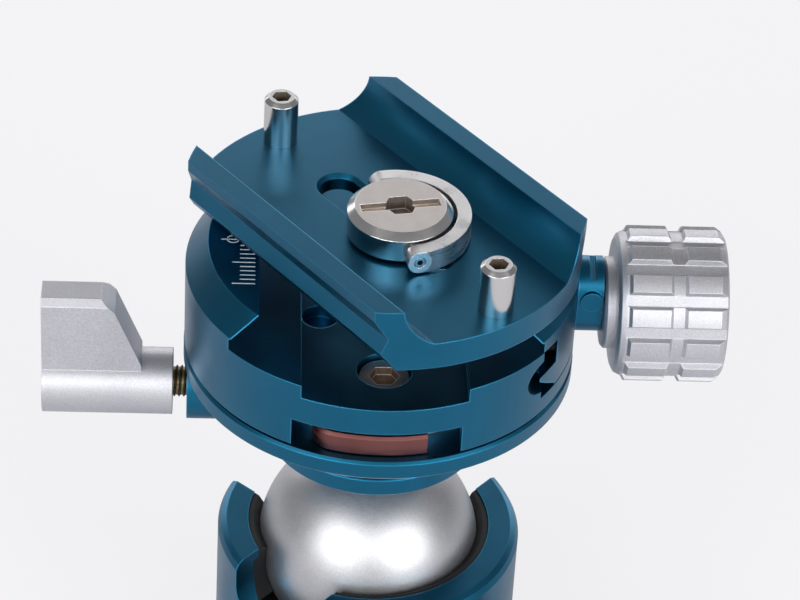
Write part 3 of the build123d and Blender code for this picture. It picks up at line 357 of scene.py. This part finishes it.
def dress_nodes():
    """Gives every CAD node the detailed material of its slot, or the slot it has in the photograph."""
    slots = {row["node"]: row["material_slot"] for row in frame["record"]["subparts"]}
    for name, node in frame["nodes"].items():
        node.data.materials.clear()
        node.data.materials.append(NODE_FINISHES.get(name, MATERIALS[slots[name]]))


# ---- mesh pieces ----

def piece(name, mesh, material, body=None):
    """Links a finished bmesh as a piece, which rides on the body if one is given."""
    data = bpy.data.meshes.new(name)
    bmesh.ops.recalc_face_normals(mesh, faces=mesh.faces)
    mesh.to_mesh(data)
    mesh.free()
    data.materials.append(material)
    made = bpy.data.objects.new(name, data)
    bpy.context.scene.collection.objects.link(made)
    if body:
        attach(made, body)
    return made


SCALE_RISE = 0.00003        # metres above and below the jaw's top
SCALE_SINK = 0.0001
FIRST_TICK_Y = -1.4         # millimetres, like the rest of the scale
TICK_COUNT = 10
TICK_INNER_X = -18.4
SHORT_TICK_X = -20.6
LONG_TICK_X = -21.7
LONG_TICK_EVERY = 5
LINE_HALF_WIDTH = 0.1
MARK_CENTRE = (-21.6, 0.1)
MARK_RADII = (0.75, 0.95)
MARK_LINE_X = (-23.3, -20.4)
MARK_LINE_Y = 0.05


def bar(mesh, low, high):
    """Adds a flat painted bar between two corners of the jaw's top."""
    height = JAW_TOP + (SCALE_RISE - SCALE_SINK) / 2
    middle = ((low[0] + high[0]) / 2 * MM, (low[1] + high[1]) / 2 * MM, height)
    size = ((high[0] - low[0]) * MM, (high[1] - low[1]) * MM, SCALE_RISE + SCALE_SINK)
    box = bmesh.ops.create_cube(mesh, size=1.0)
    bmesh.ops.scale(mesh, vec=size, verts=box["verts"])
    bmesh.ops.translate(mesh, vec=middle, verts=box["verts"])


def ring(mesh, centre, inner, outer, steps=40):
    """Adds a flat painted ring to the jaw's top."""
    rows = []
    section = ((inner, -SCALE_SINK), (outer, -SCALE_SINK), (outer, SCALE_RISE), (inner, SCALE_RISE))
    for radius, height in section:
        rows.append([mesh.verts.new(((centre[0] + radius * cos(2 * pi * k / steps)) * MM,
                                     (centre[1] + radius * sin(2 * pi * k / steps)) * MM, JAW_TOP + height))
                     for k in range(steps)])
    for row, after in zip(rows, rows[1:] + rows[:1]):
        for k in range(steps):
            mesh.faces.new((row[k], row[k - 1], after[k - 1], after[k]))


def add_scale():
    """The ticks engraved on the fixed jaw's top, and the mark that they count from."""
    mesh = bmesh.new()
    for tick in range(TICK_COUNT):
        y = FIRST_TICK_Y - tick
        start = LONG_TICK_X if (tick + 1) % LONG_TICK_EVERY == 0 else SHORT_TICK_X
        bar(mesh, (start, y - LINE_HALF_WIDTH), (TICK_INNER_X, y + LINE_HALF_WIDTH))
    ring(mesh, MARK_CENTRE, *MARK_RADII)
    left, right = MARK_LINE_X
    bar(mesh, (left, MARK_LINE_Y - LINE_HALF_WIDTH), (right, MARK_LINE_Y + LINE_HALF_WIDTH))
    piece("jaw_scale", mesh, MARK_PAINT, "clamp_group")


THREAD_START_X = -27.9      # millimetres
THREAD_LENGTH = 2.1
THREAD_PITCH = 0.7
THREAD_CORE = 2.05
THREAD_CREST = 2.4
THREAD_HALF_WIDTH = 0.24
STEPS_PER_TURN = 32


def add_stud_thread():
    """The thread turns that show between the pan ring's boss and its lever."""
    axis = middle_of("pan_lock_stud") / MM
    mesh = bmesh.new()
    rows = []
    section = ((-THREAD_HALF_WIDTH, THREAD_CORE), (0.0, THREAD_CREST), (THREAD_HALF_WIDTH, THREAD_CORE))
    for k in range(int(THREAD_LENGTH / THREAD_PITCH * STEPS_PER_TURN) + 1):
        turn = 2 * pi * k / STEPS_PER_TURN
        x = THREAD_START_X - THREAD_PITCH * k / STEPS_PER_TURN
        row = []
        for shift, radius in section:
            row.append(mesh.verts.new(((x + shift) * MM, (axis.y + radius * cos(turn)) * MM,
                                       (axis.z + radius * sin(turn)) * MM)))
        rows.append(row)
    for row, after in zip(rows, rows[1:]):
        for k in range(3):
            mesh.faces.new((row[k], row[(k + 1) % 3], after[(k + 1) % 3], after[k]))
    mesh.faces.new(rows[0])
    mesh.faces.new(list(reversed(rows[-1])))
    piece("pan_stud_thread", mesh, DARK_BRASS, "top_pan_lock")


def add_springs():
    """The jaw's springs again, as a copied mesh of coils that stands in for the hidden CAD node."""
    mesh = bmesh.new()
    mesh.from_mesh(frame["nodes"]["jaw_springs"].data)
    springs = piece("jaw_spring_coils", mesh, MATERIALS["spring_steel"])
    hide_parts("jaw_springs")
    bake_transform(springs)


# ---- stage ----

SOFTBOXES = (           # name, azimuth and elevation in degrees, distance, width, height, radiance
    ("front_softbox", -86, 27, 1.7, 2.4, 0.9, 1.6),
    ("front_left_softbox", -128, 24, 1.5, 1.15, 1.05, 3.4),
    ("front_right_softbox", -48, 20, 1.5, 1.10, 1.00, 3.4),
    ("back_softbox", 90, 16, 1.8, 3.2, 0.9, 1.8),
)
FLOOR_SIZE = 8
FLOOR_COLOUR = (0.86, 0.855, 0.88, 1)
FLOOR_GLOW = 0.74       # how far the floor is lifted towards the glow's colour, for the camera only
GLOW_COLOUR = (0.99, 0.985, 1.0, 1)
WORLD_COLOUR = (0.96, 0.96, 1.0, 1)
WORLD_STRENGTH = 0.24


def add_stage():
    """A pale floor that the head stands on, and the soft light of broad panels around it."""
    bpy.ops.mesh.primitive_plane_add(size=FLOOR_SIZE, location=(0, 0, 0))
    floor = bpy.context.object
    floor.name = "floor"
    m = Finish("floor", 0.0, 0.9, 0.2)
    m.shader.inputs["Base Color"].default_value = FLOOR_COLOUR
    glow = m.node("ShaderNodeEmission")
    glow.inputs["Color"].default_value = GLOW_COLOUR
    mixed = m.node("ShaderNodeMixShader")
    m.link(m.math("MULTIPLY", m.node("ShaderNodeLightPath").outputs["Is Camera Ray"], FLOOR_GLOW),
           mixed.inputs[0])
    m.link(m.shader.outputs[0], mixed.inputs[1])
    m.link(glow.outputs[0], mixed.inputs[2])
    m.link(mixed.outputs[0], m.tree.nodes["Material Output"].inputs["Surface"])
    floor.data.materials.append(m.material)
    world = bpy.data.worlds.new("world")
    world.use_nodes = True
    background = world.node_tree.nodes["Background"]
    background.inputs["Color"].default_value = WORLD_COLOUR
    background.inputs["Strength"].default_value = WORLD_STRENGTH
    bpy.context.scene.world = world
    middle = Vector((0, 0, JAW_TOP))
    for name, azimuth, elevation, distance, width, height, radiance in SOFTBOXES:
        az, el = radians(azimuth), radians(elevation)
        way = Vector((cos(az) * cos(el), sin(az) * cos(el), sin(el)))
        lamp = bpy.data.lights.new(name, "AREA")
        lamp.shape = "RECTANGLE"
        lamp.size = width
        lamp.size_y = height
        lamp.energy = radiance * pi * width * height
        holder = bpy.data.objects.new(name, lamp)
        holder.location = middle + way * distance
        holder.rotation_euler = (-way).to_track_quat("-Z", "Y").to_euler()
        bpy.context.scene.collection.objects.link(holder)


add_camera()
dress_nodes()
add_scale()
add_stud_thread()
add_springs()
add_stage()
bpy.context.scene.view_settings.view_transform = "Standard"
